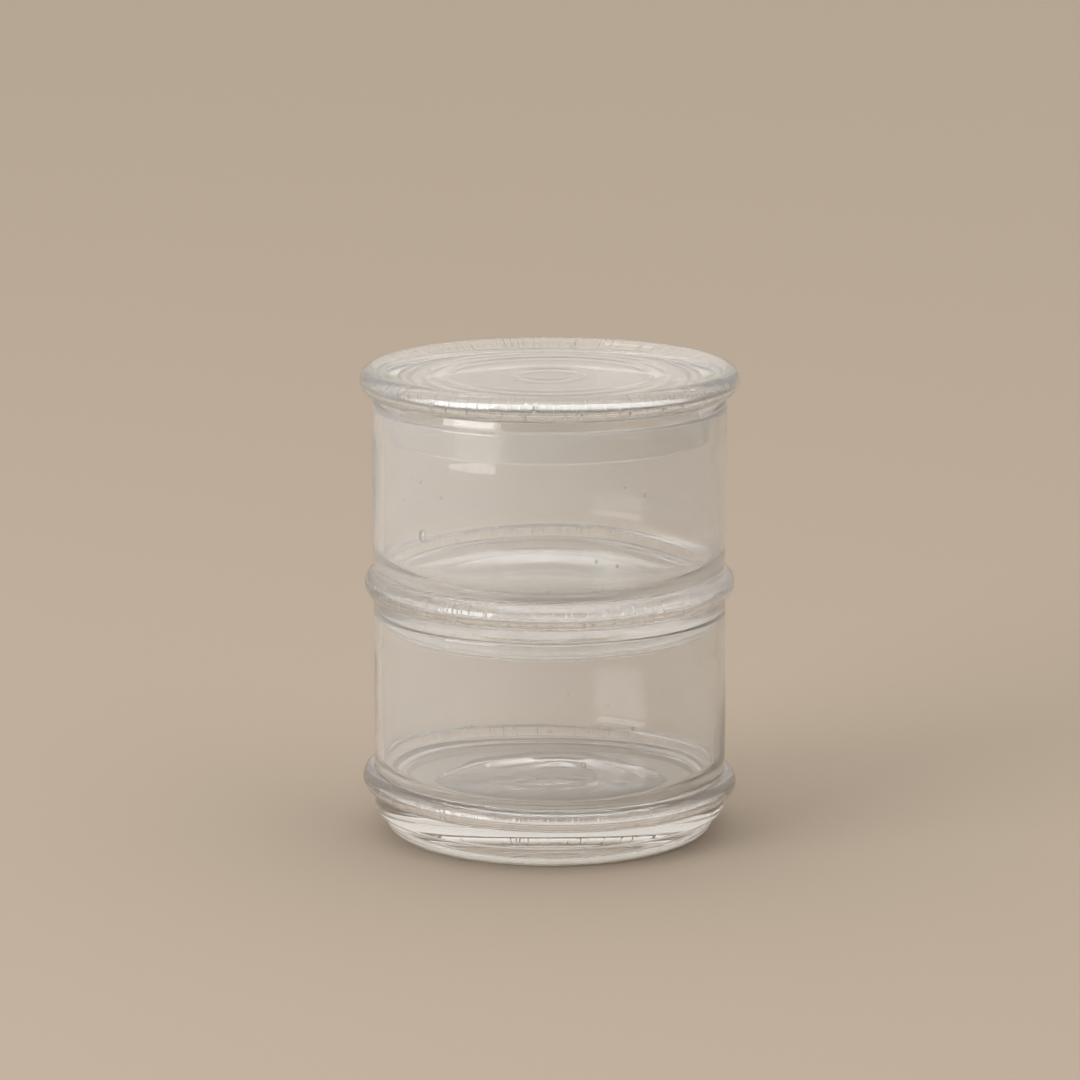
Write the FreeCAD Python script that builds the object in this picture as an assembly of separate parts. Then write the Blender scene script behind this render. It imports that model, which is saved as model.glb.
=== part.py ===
"""Herb keeper: two equal glass jars stacked under a glass lid.

Every piece is a turned form about the Z axis. The origin is on the table, in the middle of the
lower jar's foot. Each jar stands with its foot in the mouth of the jar below, and the lid's hollow
plug hangs in the top mouth. All sizes are in millimetres.
"""
import FreeCAD, Part
import math
import os

# Jar: the straight wall and its mouth
body_radius = 45.0
wall = 2.1
jar_height = 58.0
rim_round = 0.8

# Jar: the narrower foot that stands in the mouth below
foot_radius = 42.4
foot_height = 5.5
heel_round = 3.5
edge_round = 0.6

# Jar: the rounded ring above the foot
ring_radius = 47.6
ring_section = 3.0
ring_level = 12.6

# Jar: the thick bottom, hollowed a little from below, dished a little and rounded into the wall inside
floor_level = 14.2
floor_dish = 0.8
corner_round = 7.0
punt_depth = 1.2
punt_radius = 31.0

# Lid: the thick rounded rim and the collar that sits on the jar
lid_radius = 48.4
lid_section = 3.35
lid_ring_level = 6.0
plug_radius = 40.8
plug_depth = 8.4
plug_wall = 2.0
plug_draft = 0.8
plug_corner = 3.0

# Lid: the sunken top with its ripples
top_radius = 38.0
top_drop = 2.0
top_thickness = 2.8
ripple_radius = 31.1
ripple_height = 0.25
ripple_width = 4.0
button_radius = 8.2

# Seats: the air left between two pieces that rest on each other
seat_gap = 0.1

mouth_radius = body_radius - wall
jar_pitch = jar_height - foot_height + seat_gap


def point(r, z):
    """A point of an outline, r from the axis and z above the piece's own base."""
    return [FreeCAD.Vector(r, 0, z)]


def bow(r, z, radius, start, end):
    """An arc of an outline about (r, z), from one angle to another, in degrees."""
    angles = [math.radians(a) for a in (start, (start + end) / 2, end)]
    return [FreeCAD.Vector(r + radius * math.cos(a), 0, z + radius * math.sin(a)) for a in angles]


def sag(r_in, z_in, r_out, z_out, rise):
    """A shallow arc from one point to another whose middle stands off by rise along Z."""
    middle = FreeCAD.Vector((r_in + r_out) / 2, 0, (z_in + z_out) / 2 + rise)
    return [FreeCAD.Vector(r_in, 0, z_in), middle, FreeCAD.Vector(r_out, 0, z_out)]


def cap(edge_radius, edge_level, rise):
    """A shallow dome from its middle on the axis to its edge, and hollow upwards where rise is negative."""
    radius = (edge_radius ** 2 + rise ** 2) / (2 * rise)
    spread = math.degrees(math.asin(edge_radius / radius))
    return bow(0, edge_level + rise - radius, radius, 90, 90 - spread)


def turned(stations, base):
    """The solid turned from an outline of points and arcs, joined by straight lines."""
    edges = []
    for station, following in zip(stations, stations[1:] + stations[:1]):
        if len(station) == 3:
            edges.append(Part.Arc(*station).toShape())
        if station[-1].distanceToPoint(following[0]) > 1e-6:
            edges.append(Part.LineSegment(station[-1], following[0]).toShape())
    face = Part.Face(Part.Wire(edges))
    solid = face.revolve(FreeCAD.Vector(0, 0, 0), FreeCAD.Vector(0, 0, 1), 360)
    solid.translate(FreeCAD.Vector(0, 0, base))
    return solid


def ring(radius, section, level, neck):
    """The outward half of a round ring that grows out of a wall of radius neck, from below up."""
    centre = radius - section
    lean = math.degrees(math.acos((neck - centre) / section))
    return bow(centre, level, section, -lean, lean)


def shoulder(inner_radius, level):
    """The ledge that rests on the mouth below: a hollow corner, a flat and a soft outer edge."""
    return [
        bow(inner_radius + edge_round, level - edge_round, edge_round, 180, 90),
        bow(body_radius - edge_round, level + edge_round, edge_round, -90, 0),
    ]


def jar(base):
    """One jar: foot, shoulder, ring, wall, rim, and the cavity down to the dished floor."""
    return turned([
        cap(punt_radius, 0, punt_depth),
        bow(foot_radius - heel_round, heel_round, heel_round, -90, 0),
        *shoulder(foot_radius, foot_height),
        ring(ring_radius, ring_section, ring_level, body_radius),
        bow(body_radius - rim_round, jar_height - rim_round, rim_round, 0, 90),
        bow(mouth_radius + rim_round, jar_height - rim_round, rim_round, 90, 180),
        bow(mouth_radius - corner_round, floor_level + corner_round, corner_round, 0, -90),
        cap(mouth_radius - corner_round, floor_level, -floor_dish)[::-1],
    ], base)


def ripple(radius, level):
    """A low round ripple on the lid's top, listed from the outside in."""
    half = ripple_width / 2
    return sag(radius + half, level, radius - half, level, ripple_height)


def lid(base):
    """The lid: hollow plug, collar, thick rounded rim and the sunken, rippled top."""
    top_level = lid_ring_level + lid_section - top_drop
    roof_level = top_level - top_thickness
    plug_inner = plug_radius - plug_wall
    rim_centre = lid_radius - lid_section
    tip = plug_wall / 2
    return turned([
        point(0, roof_level),
        bow(plug_inner - plug_draft - plug_corner, roof_level - plug_corner, plug_corner, 90, 0),
        bow(plug_inner + tip, tip - plug_depth, tip, 180, 360),
        *shoulder(plug_radius, 0),
        bow(rim_centre, lid_ring_level, lid_section, -90, 90),
        sag(rim_centre, lid_ring_level + lid_section, top_radius, top_level, 0.35),
        ripple(ripple_radius, top_level),
        ripple(button_radius, top_level),
        point(0, top_level),
    ], base)


pieces = {
    "lower_jar": jar(0),
    "upper_jar": jar(jar_pitch),
    "lid": lid(jar_pitch + jar_height + seat_gap),
}

os.makedirs("parts", exist_ok=True)
for name, solid in pieces.items():
    solid.exportStep(f"parts/{name}.step")
    box = solid.BoundBox
    print(name, "valid", solid.isValid(), "volume cm3", round(solid.Volume / 1000, 1),
          "z", round(box.ZMin, 2), round(box.ZMax, 2), "radius", round(box.XMax, 2))
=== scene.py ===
"""Herb keeper of clear pressed glass: two jars of one form stacked under a lid, on a studio floor.

The glass is turned about the Z axis from sections close to the solids', and then gets what a press leaves
in it: waves in the walls, ripples in the lower floor, ticks on the beads and small bubbles of air.
Sections are written in millimetres, r from the axis and z above the piece's own base.
"""
import math
import random

import bmesh
import bpy
import numpy
from mathutils import Matrix, Vector


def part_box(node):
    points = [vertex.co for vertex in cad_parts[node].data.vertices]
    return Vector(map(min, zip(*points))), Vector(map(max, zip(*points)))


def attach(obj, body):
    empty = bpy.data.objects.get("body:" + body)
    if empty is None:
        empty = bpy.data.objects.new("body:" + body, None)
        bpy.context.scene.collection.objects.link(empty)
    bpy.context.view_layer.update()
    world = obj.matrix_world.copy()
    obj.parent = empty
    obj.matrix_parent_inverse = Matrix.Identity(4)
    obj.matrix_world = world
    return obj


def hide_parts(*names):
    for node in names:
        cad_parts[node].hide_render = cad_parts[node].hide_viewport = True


MM = 0.001
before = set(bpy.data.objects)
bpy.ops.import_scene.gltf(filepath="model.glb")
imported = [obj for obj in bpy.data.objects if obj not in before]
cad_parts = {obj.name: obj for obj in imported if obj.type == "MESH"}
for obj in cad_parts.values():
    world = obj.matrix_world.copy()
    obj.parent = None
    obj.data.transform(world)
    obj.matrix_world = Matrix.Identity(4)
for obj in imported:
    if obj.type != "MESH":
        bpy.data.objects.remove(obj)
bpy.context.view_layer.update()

# Jar: the straight wall and its mouth
BODY_RADIUS = 45.0
WALL = 2.1
JAR_HEIGHT = 58.0
RIM_ROUND = 0.8

# Jar: the narrower foot and the ledge above it
FOOT_RADIUS = 42.4
FOOT_HEIGHT = 5.5
HEEL_ROUND = 3.5
EDGE_ROUND = 0.6

# Jar: the thick bottom
FLOOR_LEVEL = 14.2
FLOOR_DISH = 0.8
CORNER_ROUND = 7.0
PUNT_DEPTH = 1.2
PUNT_RADIUS = 31.0

# Lid: the hollow plug, the thick rim and the sunken top
LID_RADIUS = 48.1
LID_SECTION = 3.35
LID_RING_LEVEL = 6.0
PLUG_RADIUS = 40.8
PLUG_DEPTH = 8.4
PLUG_WALL = 2.0
PLUG_DRAFT = 1.2
PLUG_CORNER = 3.0
TIP_ROUND = 0.5
TOP_RADIUS = 38.0
TOP_DROP = 2.0
TOP_THICKNESS = 2.8
TOP_BANK_WIDTH = 3.5
TOP_BANK_RISE = 1.35

MOUTH_RADIUS = BODY_RADIUS - WALL
LOWER_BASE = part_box("lower_jar")[0].z / MM
UPPER_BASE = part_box("upper_jar")[0].z / MM
LID_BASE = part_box("lid")[1].z / MM - LID_RING_LEVEL - LID_SECTION
LID_TOP_LEVEL = LID_RING_LEVEL + LID_SECTION - TOP_DROP

# How finely the glass is turned
SIDES = 220
STEP = 1.0
NEAR_CORNER = 0.25
ARC_STEP = 9.0
ARC_LEAST = 3
SAME_POINT = 1e-4
MERGE_METRES = 1e-6

# How far off a surface's own place a point still counts as on it
SURFACE_SLACK = 0.5

# Bubbles: thin through the wall and tall up it
BUBBLE_FLAT = 0.6
BUBBLE_STRETCH = 1.3


def arc(r, z, radius, start, end):
    """Points on an arc about (r, z), from one angle to another, in degrees."""
    turn = abs(end - start)
    count = max(ARC_LEAST, math.ceil(turn / ARC_STEP), math.ceil(math.radians(turn) * radius / STEP))
    angles = [math.radians(start + (end - start) * i / count) for i in range(count + 1)]
    return [(r + radius * math.cos(a), z + radius * math.sin(a)) for a in angles]


def dome(edge_radius, edge_level, rise):
    """A shallow dome from its middle on the axis to its edge, hollow upwards where rise is negative."""
    radius = (edge_radius ** 2 + rise ** 2) / (2 * rise)
    spread = math.degrees(math.asin(edge_radius / radius))
    return arc(0, edge_level + rise - radius, radius, 90, 90 - spread)


def bead(radius, section, level, neck):
    """The outward half of a round ring that grows out of a wall of radius neck, from below up."""
    centre = radius - section
    lean = math.degrees(math.acos((neck - centre) / section))
    return arc(centre, level, section, -lean, lean)


def ledge(inner_radius, level):
    """The ledge that rests on the mouth below: a hollow corner, a flat and a soft outer edge."""
    return [
        *arc(inner_radius + EDGE_ROUND, level - EDGE_ROUND, EDGE_ROUND, 180, 90),
        *arc(BODY_RADIUS - EDGE_ROUND, level + EDGE_ROUND, EDGE_ROUND, -90, 0),
    ]


def jar_section(ring_radius, ring_section, ring_level, corner):
    """The jar's section, from the middle of the underside round the outside to the middle of the floor."""
    return [
        *dome(PUNT_RADIUS, 0, PUNT_DEPTH),
        *arc(FOOT_RADIUS - HEEL_ROUND, HEEL_ROUND, HEEL_ROUND, -90, 0),
        *ledge(FOOT_RADIUS, FOOT_HEIGHT),
        *bead(ring_radius, ring_section, ring_level, BODY_RADIUS),
        *arc(BODY_RADIUS - RIM_ROUND, JAR_HEIGHT - RIM_ROUND, RIM_ROUND, 0, 90),
        *arc(MOUTH_RADIUS + RIM_ROUND, JAR_HEIGHT - RIM_ROUND, RIM_ROUND, 90, 180),
        *arc(MOUTH_RADIUS - corner, FLOOR_LEVEL + corner, corner, 0, -90),
        *dome(MOUTH_RADIUS - corner, FLOOR_LEVEL, -FLOOR_DISH)[::-1],
    ]


def lid_section():
    """The lid's section, from the middle of the plug's roof round the rim to the middle of the top."""
    roof_level = LID_TOP_LEVEL - TOP_THICKNESS
    plug_inner = PLUG_RADIUS - PLUG_WALL
    rim_centre = LID_RADIUS - LID_SECTION
    return [
        (0, roof_level),
        *arc(plug_inner - PLUG_DRAFT - PLUG_CORNER, roof_level - PLUG_CORNER, PLUG_CORNER, 90, 0),
        *arc(plug_inner + TIP_ROUND, TIP_ROUND - PLUG_DEPTH, TIP_ROUND, 180, 270),
        *arc(PLUG_RADIUS - TIP_ROUND, TIP_ROUND - PLUG_DEPTH, TIP_ROUND, 270, 360),
        *ledge(PLUG_RADIUS, 0),
        *arc(rim_centre, LID_RING_LEVEL, LID_SECTION, -90, 90),
        (TOP_RADIUS + TOP_BANK_WIDTH, LID_TOP_LEVEL + TOP_BANK_RISE),
        (TOP_RADIUS, LID_TOP_LEVEL),
        (0, LID_TOP_LEVEL),
    ]


def fine(section):
    """The section with its long lines divided, and a point close to each corner to keep the shading flat."""
    points = [section[0]]
    for start, end in zip(section, section[1:]):
        length = math.dist(start, end)
        if length < SAME_POINT:
            continue
        parts = math.ceil(length / STEP)
        shares = {i / parts for i in range(1, parts + 1)}
        if length > STEP:
            shares |= {NEAR_CORNER / length, 1 - NEAR_CORNER / length}
        points += [tuple(a + (b - a) * t for a, b in zip(start, end)) for t in sorted(shares)]
    return points


def turned(node, section, base, materials, veiled, moves, bubbles):
    """A closed glass piece in a solid's place, spun from its section and shifted a little by the moves."""
    bm = bmesh.new()
    rim = [bm.verts.new((r * MM, 0, (base + z) * MM)) for r, z in fine(section)]
    line = [bm.edges.new(pair) for pair in zip(rim, rim[1:])]
    bmesh.ops.spin(bm, geom=rim + line, axis=(0, 0, 1), cent=(0, 0, 0), angle=2 * math.pi,
                   steps=SIDES, use_merge=True)
    bmesh.ops.remove_doubles(bm, verts=bm.verts, dist=MERGE_METRES)
    bmesh.ops.recalc_face_normals(bm, faces=bm.faces)
    bm.from_mesh(hollows(base, bubbles))
    piece = finished(bm, f"{node}_glass", node, materials[0])
    veil(piece.data, base, materials[1], veiled)
    shifted(piece.data, base, moves)
    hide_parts(node)


def hollows(base, bubbles):
    """A mesh of air bubbles in the glass, whose faces look into the air inside them."""
    bm = bmesh.new()
    for degrees, r, z, width in bubbles:
        angle = math.radians(degrees)
        centre = Vector((r * math.cos(angle), r * math.sin(angle), z + base)) * MM
        place = Matrix.Translation(centre) @ Matrix.Rotation(angle, 4, "Z")
        place @= Matrix.Diagonal((BUBBLE_FLAT, 1, BUBBLE_STRETCH, 1))
        bmesh.ops.create_icosphere(bm, subdivisions=2, radius=width / 2 * MM, matrix=place)
    bmesh.ops.reverse_faces(bm, faces=bm.faces)
    mesh = bpy.data.meshes.new("bubbles")
    bm.to_mesh(mesh)
    bm.free()
    return mesh


def veil(mesh, base, material, veiled):
    """Gives the second material to the faces where veiled(r, z) holds, left a little hazy by handling."""
    mesh.materials.append(material)
    centres = numpy.empty(len(mesh.polygons) * 3)
    mesh.polygons.foreach_get("center", centres)
    x, y, z = centres.reshape(-1, 3).T / MM
    mesh.polygons.foreach_set("material_index", veiled(numpy.hypot(x, y), z - base).astype("int32"))


def shifted(mesh, base, moves):
    """Moves each point of the mesh by the sum of the moves, which take r, z and the angle as arrays."""
    points = numpy.empty(len(mesh.vertices) * 3)
    mesh.vertices.foreach_get("co", points)
    x, y, z = points.reshape(-1, 3).T / MM
    r, z, angle = numpy.hypot(x, y), z - base, numpy.arctan2(y, x)
    shifts = [move(r, z, angle) for move in moves]
    r, z = r + sum(s[0] for s in shifts), z + sum(s[1] for s in shifts)
    points = numpy.column_stack((r * numpy.cos(angle), r * numpy.sin(angle), z + base)) * MM
    mesh.vertices.foreach_set("co", points.ravel())
    mesh.update()


def finished(bm, name, body, material):
    """The piece from its bmesh, smooth, in its material and riding on its body."""
    mesh = bpy.data.meshes.new(name)
    bm.to_mesh(mesh)
    bm.free()
    mesh.shade_smooth()
    mesh.materials.append(material)
    piece = bpy.data.objects.new(name, mesh)
    bpy.context.scene.collection.objects.link(piece)
    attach(piece, body)
    return piece


def between(value, low, high, soft):
    """1 between low and high, falling to 0 over the soft distance outside them."""
    ramp = numpy.clip(numpy.minimum((value - low) / soft + 1, (high - value) / soft + 1), 0, 1)
    return ramp * ramp * (3 - 2 * ramp)


def wander(seed, angle, height, turns, swell):
    """A smooth value, mostly from -1 to 1, that wanders round the piece and, over the swell, up it."""
    chance = random.Random(seed)
    total = 0
    for count in range(1, turns + 1):
        phase, drift = chance.uniform(0, 2 * math.pi), chance.uniform(-1, 1)
        total = total + numpy.sin(count * angle + phase + drift * 2 * math.pi * height / swell)
    return total / math.sqrt(turns)


# Waves in the wall, which stay clear of the floor and of the next piece's foot
WAVES_FROM = 20.0
WAVES_CLEAR = 6.0
WAVES_TO = JAR_HEIGHT - FOOT_HEIGHT - WAVES_CLEAR
WAVES_FADE = 5.0


def wall_waves(seed, size):
    """Waves in the wall that change evenly from its inside to its outside, which keeps the bubbles whole."""
    def move(r, z, angle):
        inside = wander(seed, angle, z, turns=5, swell=40)
        outside = wander(seed + 1, angle, z, turns=4, swell=60)
        wave = inside + (outside - inside) * numpy.clip((r - MOUTH_RADIUS) / WALL, 0, 1)
        near_wall = (r > MOUTH_RADIUS - CORNER_ROUND) * between(z, WAVES_FROM, WAVES_TO, WAVES_FADE)
        return size * wave * near_wall, 0 * z
    return move


# Ripples in the floor: how far their rings wander, how softly they end, and how deep the floor counts
RIPPLE_WANDER = 1.4
RIPPLE_FADE = 3.0
FLOOR_REACH = 2.0


def floor_ripples(seed, depth, inner, outer, spacing):
    """Ripples in the floor whose rings wander in and out, as where the hot glass chilled in the mould."""
    def move(r, z, angle):
        lobes = RIPPLE_WANDER * wander(seed, angle, r, turns=5, swell=90)
        wave = numpy.cos(2 * math.pi * (r + lobes) / spacing)
        in_rings = between(r, inner + RIPPLE_FADE, outer - RIPPLE_FADE, RIPPLE_FADE)
        on_floor = (numpy.abs(z - FLOOR_LEVEL) < FLOOR_REACH) * in_rings
        return 0 * r, depth * wave * on_floor
    return move


def valve_mark(radius, height, soft):
    """The round mark that the press's valve leaves in the middle of the underside."""
    def move(r, z, angle):
        return 0 * r, height * (z < PUNT_DEPTH + SURFACE_SLACK) * between(r, 0, radius, soft)
    return move


# The slanted ring: from just inside the body's surface to past the widest bead
SLANT_INSIDE = 0.1
SLANT_OUTSIDE = 1.0
SLANT_FADE = 0.5


def slant(level, reach, drop):
    """A ring that lies lower on its +X side, as where the mould's halves met a little out of line."""
    def move(r, z, angle):
        near = between(z, level - reach, level + reach, reach)
        outside = between(r, BODY_RADIUS - SLANT_INSIDE, LID_RADIUS + SLANT_OUTSIDE, SLANT_FADE)
        return 0 * r, -drop * numpy.cos(angle) * near * outside
    return move


TOP_RING_SEED = 3
TOP_RING_WANDER = 0.3


def top_rings(rings, height, width):
    """Low round rings on the lid's sunken top."""
    def move(r, z, angle):
        on_top = z > LID_TOP_LEVEL - SURFACE_SLACK
        drift = TOP_RING_WANDER * wander(TOP_RING_SEED, angle, r, turns=3, swell=90)
        rise = sum(numpy.exp(-((r - ring + drift) / width) ** 2) for ring in rings)
        return 0 * r, height * on_top * rise
    return move


# The glass's surface: how often each mark comes, and from where to where its noise shows, of 0 to 1
TICKS_ROUND = 70.0
TICK_RISE = 60.0
TICK_NOISE = (0.54, 0.66)
BEAD_FROM = 0.2
BEAD_FULL = 1.2
GRAIN_SCALE = 900.0
GRAIN_REACH = 0.003
GRAIN_FADE = 0.001
STREAK_SCALE = 28.0
STREAK_NOISE = (0.35, 0.70)
SMUDGE_SCALE = 45.0
SMUDGE_NOISE = (0.56, 0.80)
SMUDGE_ROUGHNESS = 0.04
BUMP_DISTANCE = 0.0002
GLASS_IOR = 1.5


def pressed_surface():
    """Node group: the press's faint streaks, its ticks on the beads, its grain and a few finger smudges."""
    group = bpy.data.node_groups.new("pressed_surface", "ShaderNodeTree")
    socket = group.interface.new_socket
    socket("Clear", in_out="INPUT", socket_type="NodeSocketColor")
    socket("Streak", in_out="INPUT", socket_type="NodeSocketColor")
    socket("Ticks", in_out="INPUT", socket_type="NodeSocketFloat")
    socket("Grain", in_out="INPUT", socket_type="NodeSocketFloat")
    socket("Grain Level", in_out="INPUT", socket_type="NodeSocketFloat")
    socket("Color", in_out="OUTPUT", socket_type="NodeSocketColor")
    socket("Roughness", in_out="OUTPUT", socket_type="NodeSocketFloat")
    socket("Height", in_out="OUTPUT", socket_type="NodeSocketFloat")
    nodes, links = group.nodes, group.links
    given = nodes.new("NodeGroupInput")
    result = nodes.new("NodeGroupOutput")

    def math_node(operation, first, second=None):
        node = nodes.new("ShaderNodeMath")
        node.operation = operation
        for socket_in, value in zip(node.inputs, (first, second)):
            if isinstance(value, (int, float)):
                socket_in.default_value = value
            elif value is not None:
                links.new(value, socket_in)
        return node.outputs[0]

    def noise_node(vector, scale, detail):
        node = nodes.new("ShaderNodeTexNoise")
        node.inputs["Scale"].default_value = scale
        node.inputs["Detail"].default_value = detail
        links.new(vector, node.inputs["Vector"])
        return node.outputs["Fac"]

    def range_node(value, low, high, to_low, to_high):
        node = nodes.new("ShaderNodeMapRange")
        for key, number in (("From Min", low), ("From Max", high), ("To Min", to_low), ("To Max", to_high)):
            node.inputs[key].default_value = number
        links.new(value, node.inputs["Value"])
        return node.outputs["Result"]

    place = nodes.new("ShaderNodeTexCoord").outputs["Object"]
    split = nodes.new("ShaderNodeSeparateXYZ")
    links.new(place, split.inputs["Vector"])
    x, y, z = (split.outputs[axis] for axis in "XYZ")
    radius = math_node("SQRT", math_node("ADD", math_node("MULTIPLY", x, x), math_node("MULTIPLY", y, y)))
    around = nodes.new("ShaderNodeCombineXYZ")
    links.new(math_node("MULTIPLY", math_node("ARCTAN2", y, x), TICKS_ROUND), around.inputs["X"])
    links.new(math_node("MULTIPLY", z, TICK_RISE), around.inputs["Y"])
    strokes = range_node(noise_node(around.outputs["Vector"], scale=1.0, detail=1.0), *TICK_NOISE, 0.0, 1.0)
    on_beads = range_node(radius, (BODY_RADIUS + BEAD_FROM) * MM, (BODY_RADIUS + BEAD_FULL) * MM, 0.0, 1.0)
    ticks = math_node("MULTIPLY", math_node("MULTIPLY", strokes, on_beads), given.outputs["Ticks"])
    above_foot = math_node("ABSOLUTE", math_node("SUBTRACT", z, given.outputs["Grain Level"]))
    on_foot = range_node(above_foot, GRAIN_REACH, GRAIN_REACH + GRAIN_FADE, 1.0, 0.0)
    grain = math_node("MULTIPLY", math_node("MULTIPLY", noise_node(place, GRAIN_SCALE, detail=3.0), on_foot),
                      given.outputs["Grain"])
    links.new(math_node("ADD", ticks, grain), result.inputs["Height"])

    streaks = range_node(noise_node(place, STREAK_SCALE, detail=4.0), *STREAK_NOISE, 0.0, 1.0)
    blend = nodes.new("ShaderNodeMix")
    blend.data_type = "RGBA"
    links.new(streaks, blend.inputs["Factor"])
    links.new(given.outputs["Clear"], blend.inputs["A"])
    links.new(given.outputs["Streak"], blend.inputs["B"])
    links.new(blend.outputs["Result"], result.inputs["Color"])
    smudges = range_node(noise_node(place, SMUDGE_SCALE, detail=5.0), *SMUDGE_NOISE, 0.0, SMUDGE_ROUGHNESS)
    links.new(smudges, result.inputs["Roughness"])
    return group


SURFACE = pressed_surface()


def glass(name, clear, streak, haze, ticks, grain, grain_level=0.0):
    """Clear glass with a faint haze, and on its surface the press's streaks, ticks and grain."""
    material = bpy.data.materials.new(name)
    material.use_nodes = True
    nodes, links = material.node_tree.nodes, material.node_tree.links
    shader = nodes["Principled BSDF"]
    shader.inputs["IOR"].default_value = GLASS_IOR
    shader.inputs["Transmission Weight"].default_value = 1 - haze
    surface = nodes.new("ShaderNodeGroup")
    surface.node_tree = SURFACE
    surface.inputs["Clear"].default_value = (*clear, 1)
    surface.inputs["Streak"].default_value = (*streak, 1)
    surface.inputs["Ticks"].default_value = ticks
    surface.inputs["Grain"].default_value = grain
    surface.inputs["Grain Level"].default_value = grain_level * MM
    bump = nodes.new("ShaderNodeBump")
    bump.inputs["Distance"].default_value = BUMP_DISTANCE
    links.new(surface.outputs["Height"], bump.inputs["Height"])
    links.new(surface.outputs["Color"], shader.inputs["Base Color"])
    links.new(surface.outputs["Roughness"], shader.inputs["Roughness"])
    links.new(bump.outputs["Normal"], shader.inputs["Normal"])
    return material


CLEAR = (0.995, 0.99, 0.98)
STREAKED = (0.97, 0.965, 0.95)
WALL_CLEAR = (0.99, 0.995, 0.995)
WALL_STREAKED = (0.97, 0.975, 0.975)

UPPER_FOOT_MIDDLE = UPPER_BASE + FOOT_HEIGHT / 2

lower_glass = glass("lower_jar_glass", CLEAR, STREAKED, haze=0.08, ticks=0.8, grain=0.0)
upper_glass = glass("upper_jar_glass", CLEAR, STREAKED, haze=0.07, ticks=1.2, grain=0.35,
                    grain_level=UPPER_FOOT_MIDDLE)
lid_glass = glass("lid_glass", CLEAR, STREAKED, haze=0.10, ticks=0.8, grain=0.0)
lower_wall_glass = glass("lower_wall_glass", WALL_CLEAR, WALL_STREAKED, haze=0.13, ticks=0.0, grain=0.0)
upper_wall_glass = glass("upper_wall_glass", WALL_CLEAR, WALL_STREAKED, haze=0.18, ticks=0.0, grain=0.0)
lid_top_glass = glass("lid_top_glass", CLEAR, STREAKED, haze=0.14, ticks=0.0, grain=0.0)

RING_TOP = 16.0
ROOF_REACH = 1.0
PLUG_REACH = 0.3


def on_wall(r, z):
    """The straight wall of a jar, above its ring outside and its rounded corner inside."""
    outside = r > BODY_RADIUS - WALL / 2
    lowest = numpy.where(outside, RING_TOP, FLOOR_LEVEL + CORNER_ROUND)
    return (r > MOUTH_RADIUS - SURFACE_SLACK) & (z > lowest)


def on_lid_top(r, z):
    """The lid's sunken top and the roof and sides of its plug."""
    at_roof = z > LID_TOP_LEVEL - TOP_THICKNESS - ROOF_REACH
    return r < numpy.where(at_roof, TOP_RADIUS, PLUG_RADIUS + PLUG_REACH)


SMALL_BUBBLE = (0.25, 0.8)


def seeds(marked, count, seed, low, high, r_low, r_high):
    """The marked bubbles, and more small ones by chance between the given heights and radii."""
    chance = random.Random(seed)
    return marked + [(chance.uniform(0, 360), chance.uniform(r_low, r_high), chance.uniform(low, high),
                      chance.uniform(*SMALL_BUBBLE)) for _ in range(count)]


# The larger bubbles, each with its angle in degrees, r, z above the piece's base and width
LOWER_MARKED = [(119.8, 43.6, 16.8, 1.4), (58.7, 43.6, 16.9, 1.6),
                (89.2, 43.6, 14.0, 1.2), (281.0, 43.95, 27.0, 1.3)]
UPPER_MARKED = [(225.0, 43.95, 29.9, 2.6), (109.0, 43.6, 15.0, 1.5), (77.2, 43.6, 15.0, 1.5),
                (221.0, 43.95, 44.0, 0.8), (228.0, 43.95, 47.0, 0.7), (233.0, 43.95, 40.5, 0.9),
                (285.0, 43.95, 26.0, 0.8), (292.0, 43.95, 24.5, 0.9), (216.0, 43.95, 38.0, 0.7)]

turned("lower_jar", jar_section(ring_radius=48.0, ring_section=2.7, ring_level=13.0, corner=6.2), LOWER_BASE,
       (lower_glass, lower_wall_glass), on_wall,
       [wall_waves(seed=2, size=0.15),
        floor_ripples(seed=4, depth=0.09, inner=7.0, outer=27.0, spacing=6.5),
        slant(level=13.0, reach=3.0, drop=0.8)],
       seeds(LOWER_MARKED, count=34, seed=11, low=18, high=50, r_low=43.7, r_high=44.2))
turned("upper_jar", jar_section(ring_radius=47.2, ring_section=3.4, ring_level=12.0, corner=7.8), UPPER_BASE,
       (upper_glass, upper_wall_glass), on_wall,
       [wall_waves(seed=7, size=0.20),
        valve_mark(radius=12.5, height=0.25, soft=2.0)],
       seeds(UPPER_MARKED, count=60, seed=5, low=18, high=50, r_low=43.7, r_high=44.2))
turned("lid", lid_section(), LID_BASE,
       (lid_glass, lid_top_glass), on_lid_top,
       [top_rings(rings=(31.1, 26.0, 8.2), height=0.09, width=1.2)],
       seeds([], count=24, seed=8, low=4, high=8, r_low=44.0, r_high=46.3))


# Studio: floor, world, one large soft lamp and the camera
FLOOR_COLOUR = (0.463, 0.388, 0.315)
FLOOR_RADIUS = 5.0
HORIZON = (0.44, 0.38, 0.31)
WALLS = (0.80, 0.76, 0.71)
CEILING = (1.12, 1.09, 1.05)
WALL_LIGHT = 1.06
CEILING_FROM = 0.75
HORIZON_TOP = 0.0
WALLS_FROM = 0.28
DARK_LIGHT = 0.12
DARK_MIDDLE = (0.0, -0.92, 0.39)
DARK_INNER = 0.93
DARK_OUTER = 0.80
LAMP_AIM = (0, 0, 0.06)


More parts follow.
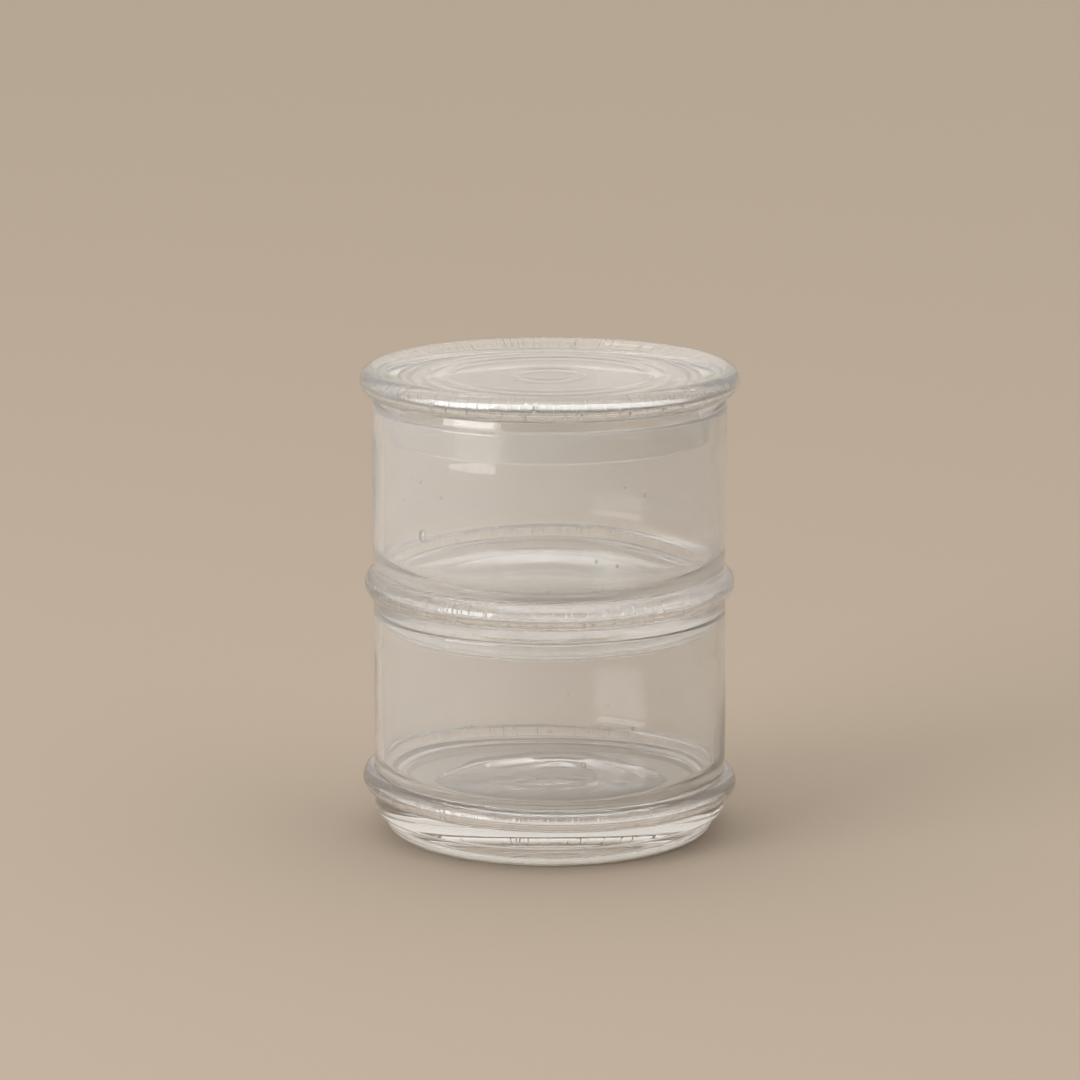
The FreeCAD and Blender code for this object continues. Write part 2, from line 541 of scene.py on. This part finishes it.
def studio_floor():
    """A plain matt floor that runs far enough back to fill the view."""
    material = bpy.data.materials.new("studio_floor")
    material.use_nodes = True
    shader = material.node_tree.nodes["Principled BSDF"]
    shader.inputs["Base Color"].default_value = (*FLOOR_COLOUR, 1)
    shader.inputs["Roughness"].default_value = 1.0
    shader.inputs["Specular IOR Level"].default_value = 0.0
    bm = bmesh.new()
    bmesh.ops.create_circle(bm, cap_ends=True, segments=96, radius=FLOOR_RADIUS)
    mesh = bpy.data.meshes.new("studio_floor")
    bm.to_mesh(mesh)
    bm.free()
    mesh.materials.append(material)
    floor = bpy.data.objects.new("studio_floor", mesh)
    bpy.context.scene.collection.objects.link(floor)


def soft_lamp(name, place, size, power):
    """A rectangular soft lamp that points at the middle of the keeper."""
    light = bpy.data.lights.new(name, "AREA")
    light.shape = "RECTANGLE"
    light.size, light.size_y = size
    light.energy = power
    lamp = bpy.data.objects.new(name, light)
    lamp.location = place
    lamp.rotation_euler = (Vector(LAMP_AIM) - Vector(place)).to_track_quat("-Z", "Y").to_euler()
    bpy.context.scene.collection.objects.link(lamp)


def surroundings():
    """Warm white studio walls, dimmer at the end of the room that the photograph is taken from."""
    world = bpy.data.worlds.new("studio")
    world.use_nodes = True
    nodes, links = world.node_tree.nodes, world.node_tree.links
    direction = nodes.new("ShaderNodeTexCoord")
    axes = nodes.new("ShaderNodeSeparateXYZ")
    rise = nodes.new("ShaderNodeValToRGB")
    rise.color_ramp.elements[0].position = HORIZON_TOP
    rise.color_ramp.elements[0].color = (*HORIZON, 1)
    rise.color_ramp.elements[1].position = WALLS_FROM
    rise.color_ramp.elements[1].color = (*WALLS, 1)
    rise.color_ramp.elements.new(CEILING_FROM).color = (*CEILING, 1)
    nearness = nodes.new("ShaderNodeVectorMath")
    nearness.operation = "DOT_PRODUCT"
    nearness.inputs[1].default_value = DARK_MIDDLE
    end = nodes.new("ShaderNodeMapRange")
    end.inputs["From Min"].default_value = DARK_OUTER
    end.inputs["From Max"].default_value = DARK_INNER
    end.inputs["To Min"].default_value = WALL_LIGHT
    end.inputs["To Max"].default_value = DARK_LIGHT
    links.new(direction.outputs["Generated"], axes.inputs["Vector"])
    links.new(axes.outputs["Z"], rise.inputs["Fac"])
    links.new(direction.outputs["Generated"], nearness.inputs[0])
    links.new(nearness.outputs["Value"], end.inputs["Value"])
    links.new(rise.outputs["Color"], nodes["Background"].inputs["Color"])
    links.new(end.outputs["Result"], nodes["Background"].inputs["Strength"])
    bpy.context.scene.world = world


# The camera, fitted to the photograph's outline
LIGHT_BOUNCES = 40
SENSOR_WIDTH = 36.0
FOCAL_PIXELS = 4600.0
FRAME_PIXELS = 1080.0
PIXELS_PER_MM = 3.92
ELEVATION = 0.206
AIM_HEIGHT = 75.0
AXIS_COLUMN = 549.5


def camera():
    """The photograph's view: from the front and a little above, through a long lens."""
    data = bpy.data.cameras.new("photo_view")
    data.sensor_width = SENSOR_WIDTH
    data.lens = FOCAL_PIXELS / FRAME_PIXELS * data.sensor_width
    data.shift_x = (FRAME_PIXELS / 2 - AXIS_COLUMN) / FRAME_PIXELS
    view = bpy.data.objects.new("photo_view", data)
    back = Vector((0, -math.cos(ELEVATION), math.sin(ELEVATION)))
    view.location = Vector((0, 0, AIM_HEIGHT * MM)) + back * (FOCAL_PIXELS / PIXELS_PER_MM * MM)
    view.rotation_euler = (-back).to_track_quat("-Z", "Y").to_euler()
    bpy.context.scene.collection.objects.link(view)
    bpy.context.scene.camera = view


studio_floor()
soft_lamp("front_left_softbox", place=(-1.28, -0.96, 0.45), size=(1.07, 0.88), power=17)
surroundings()
camera()
bpy.context.scene.view_settings.view_transform = "Standard"
bpy.context.scene.cycles.max_bounces = LIGHT_BOUNCES
bpy.context.scene.cycles.transmission_bounces = LIGHT_BOUNCES
bpy.context.scene.cycles.glossy_bounces = LIGHT_BOUNCES
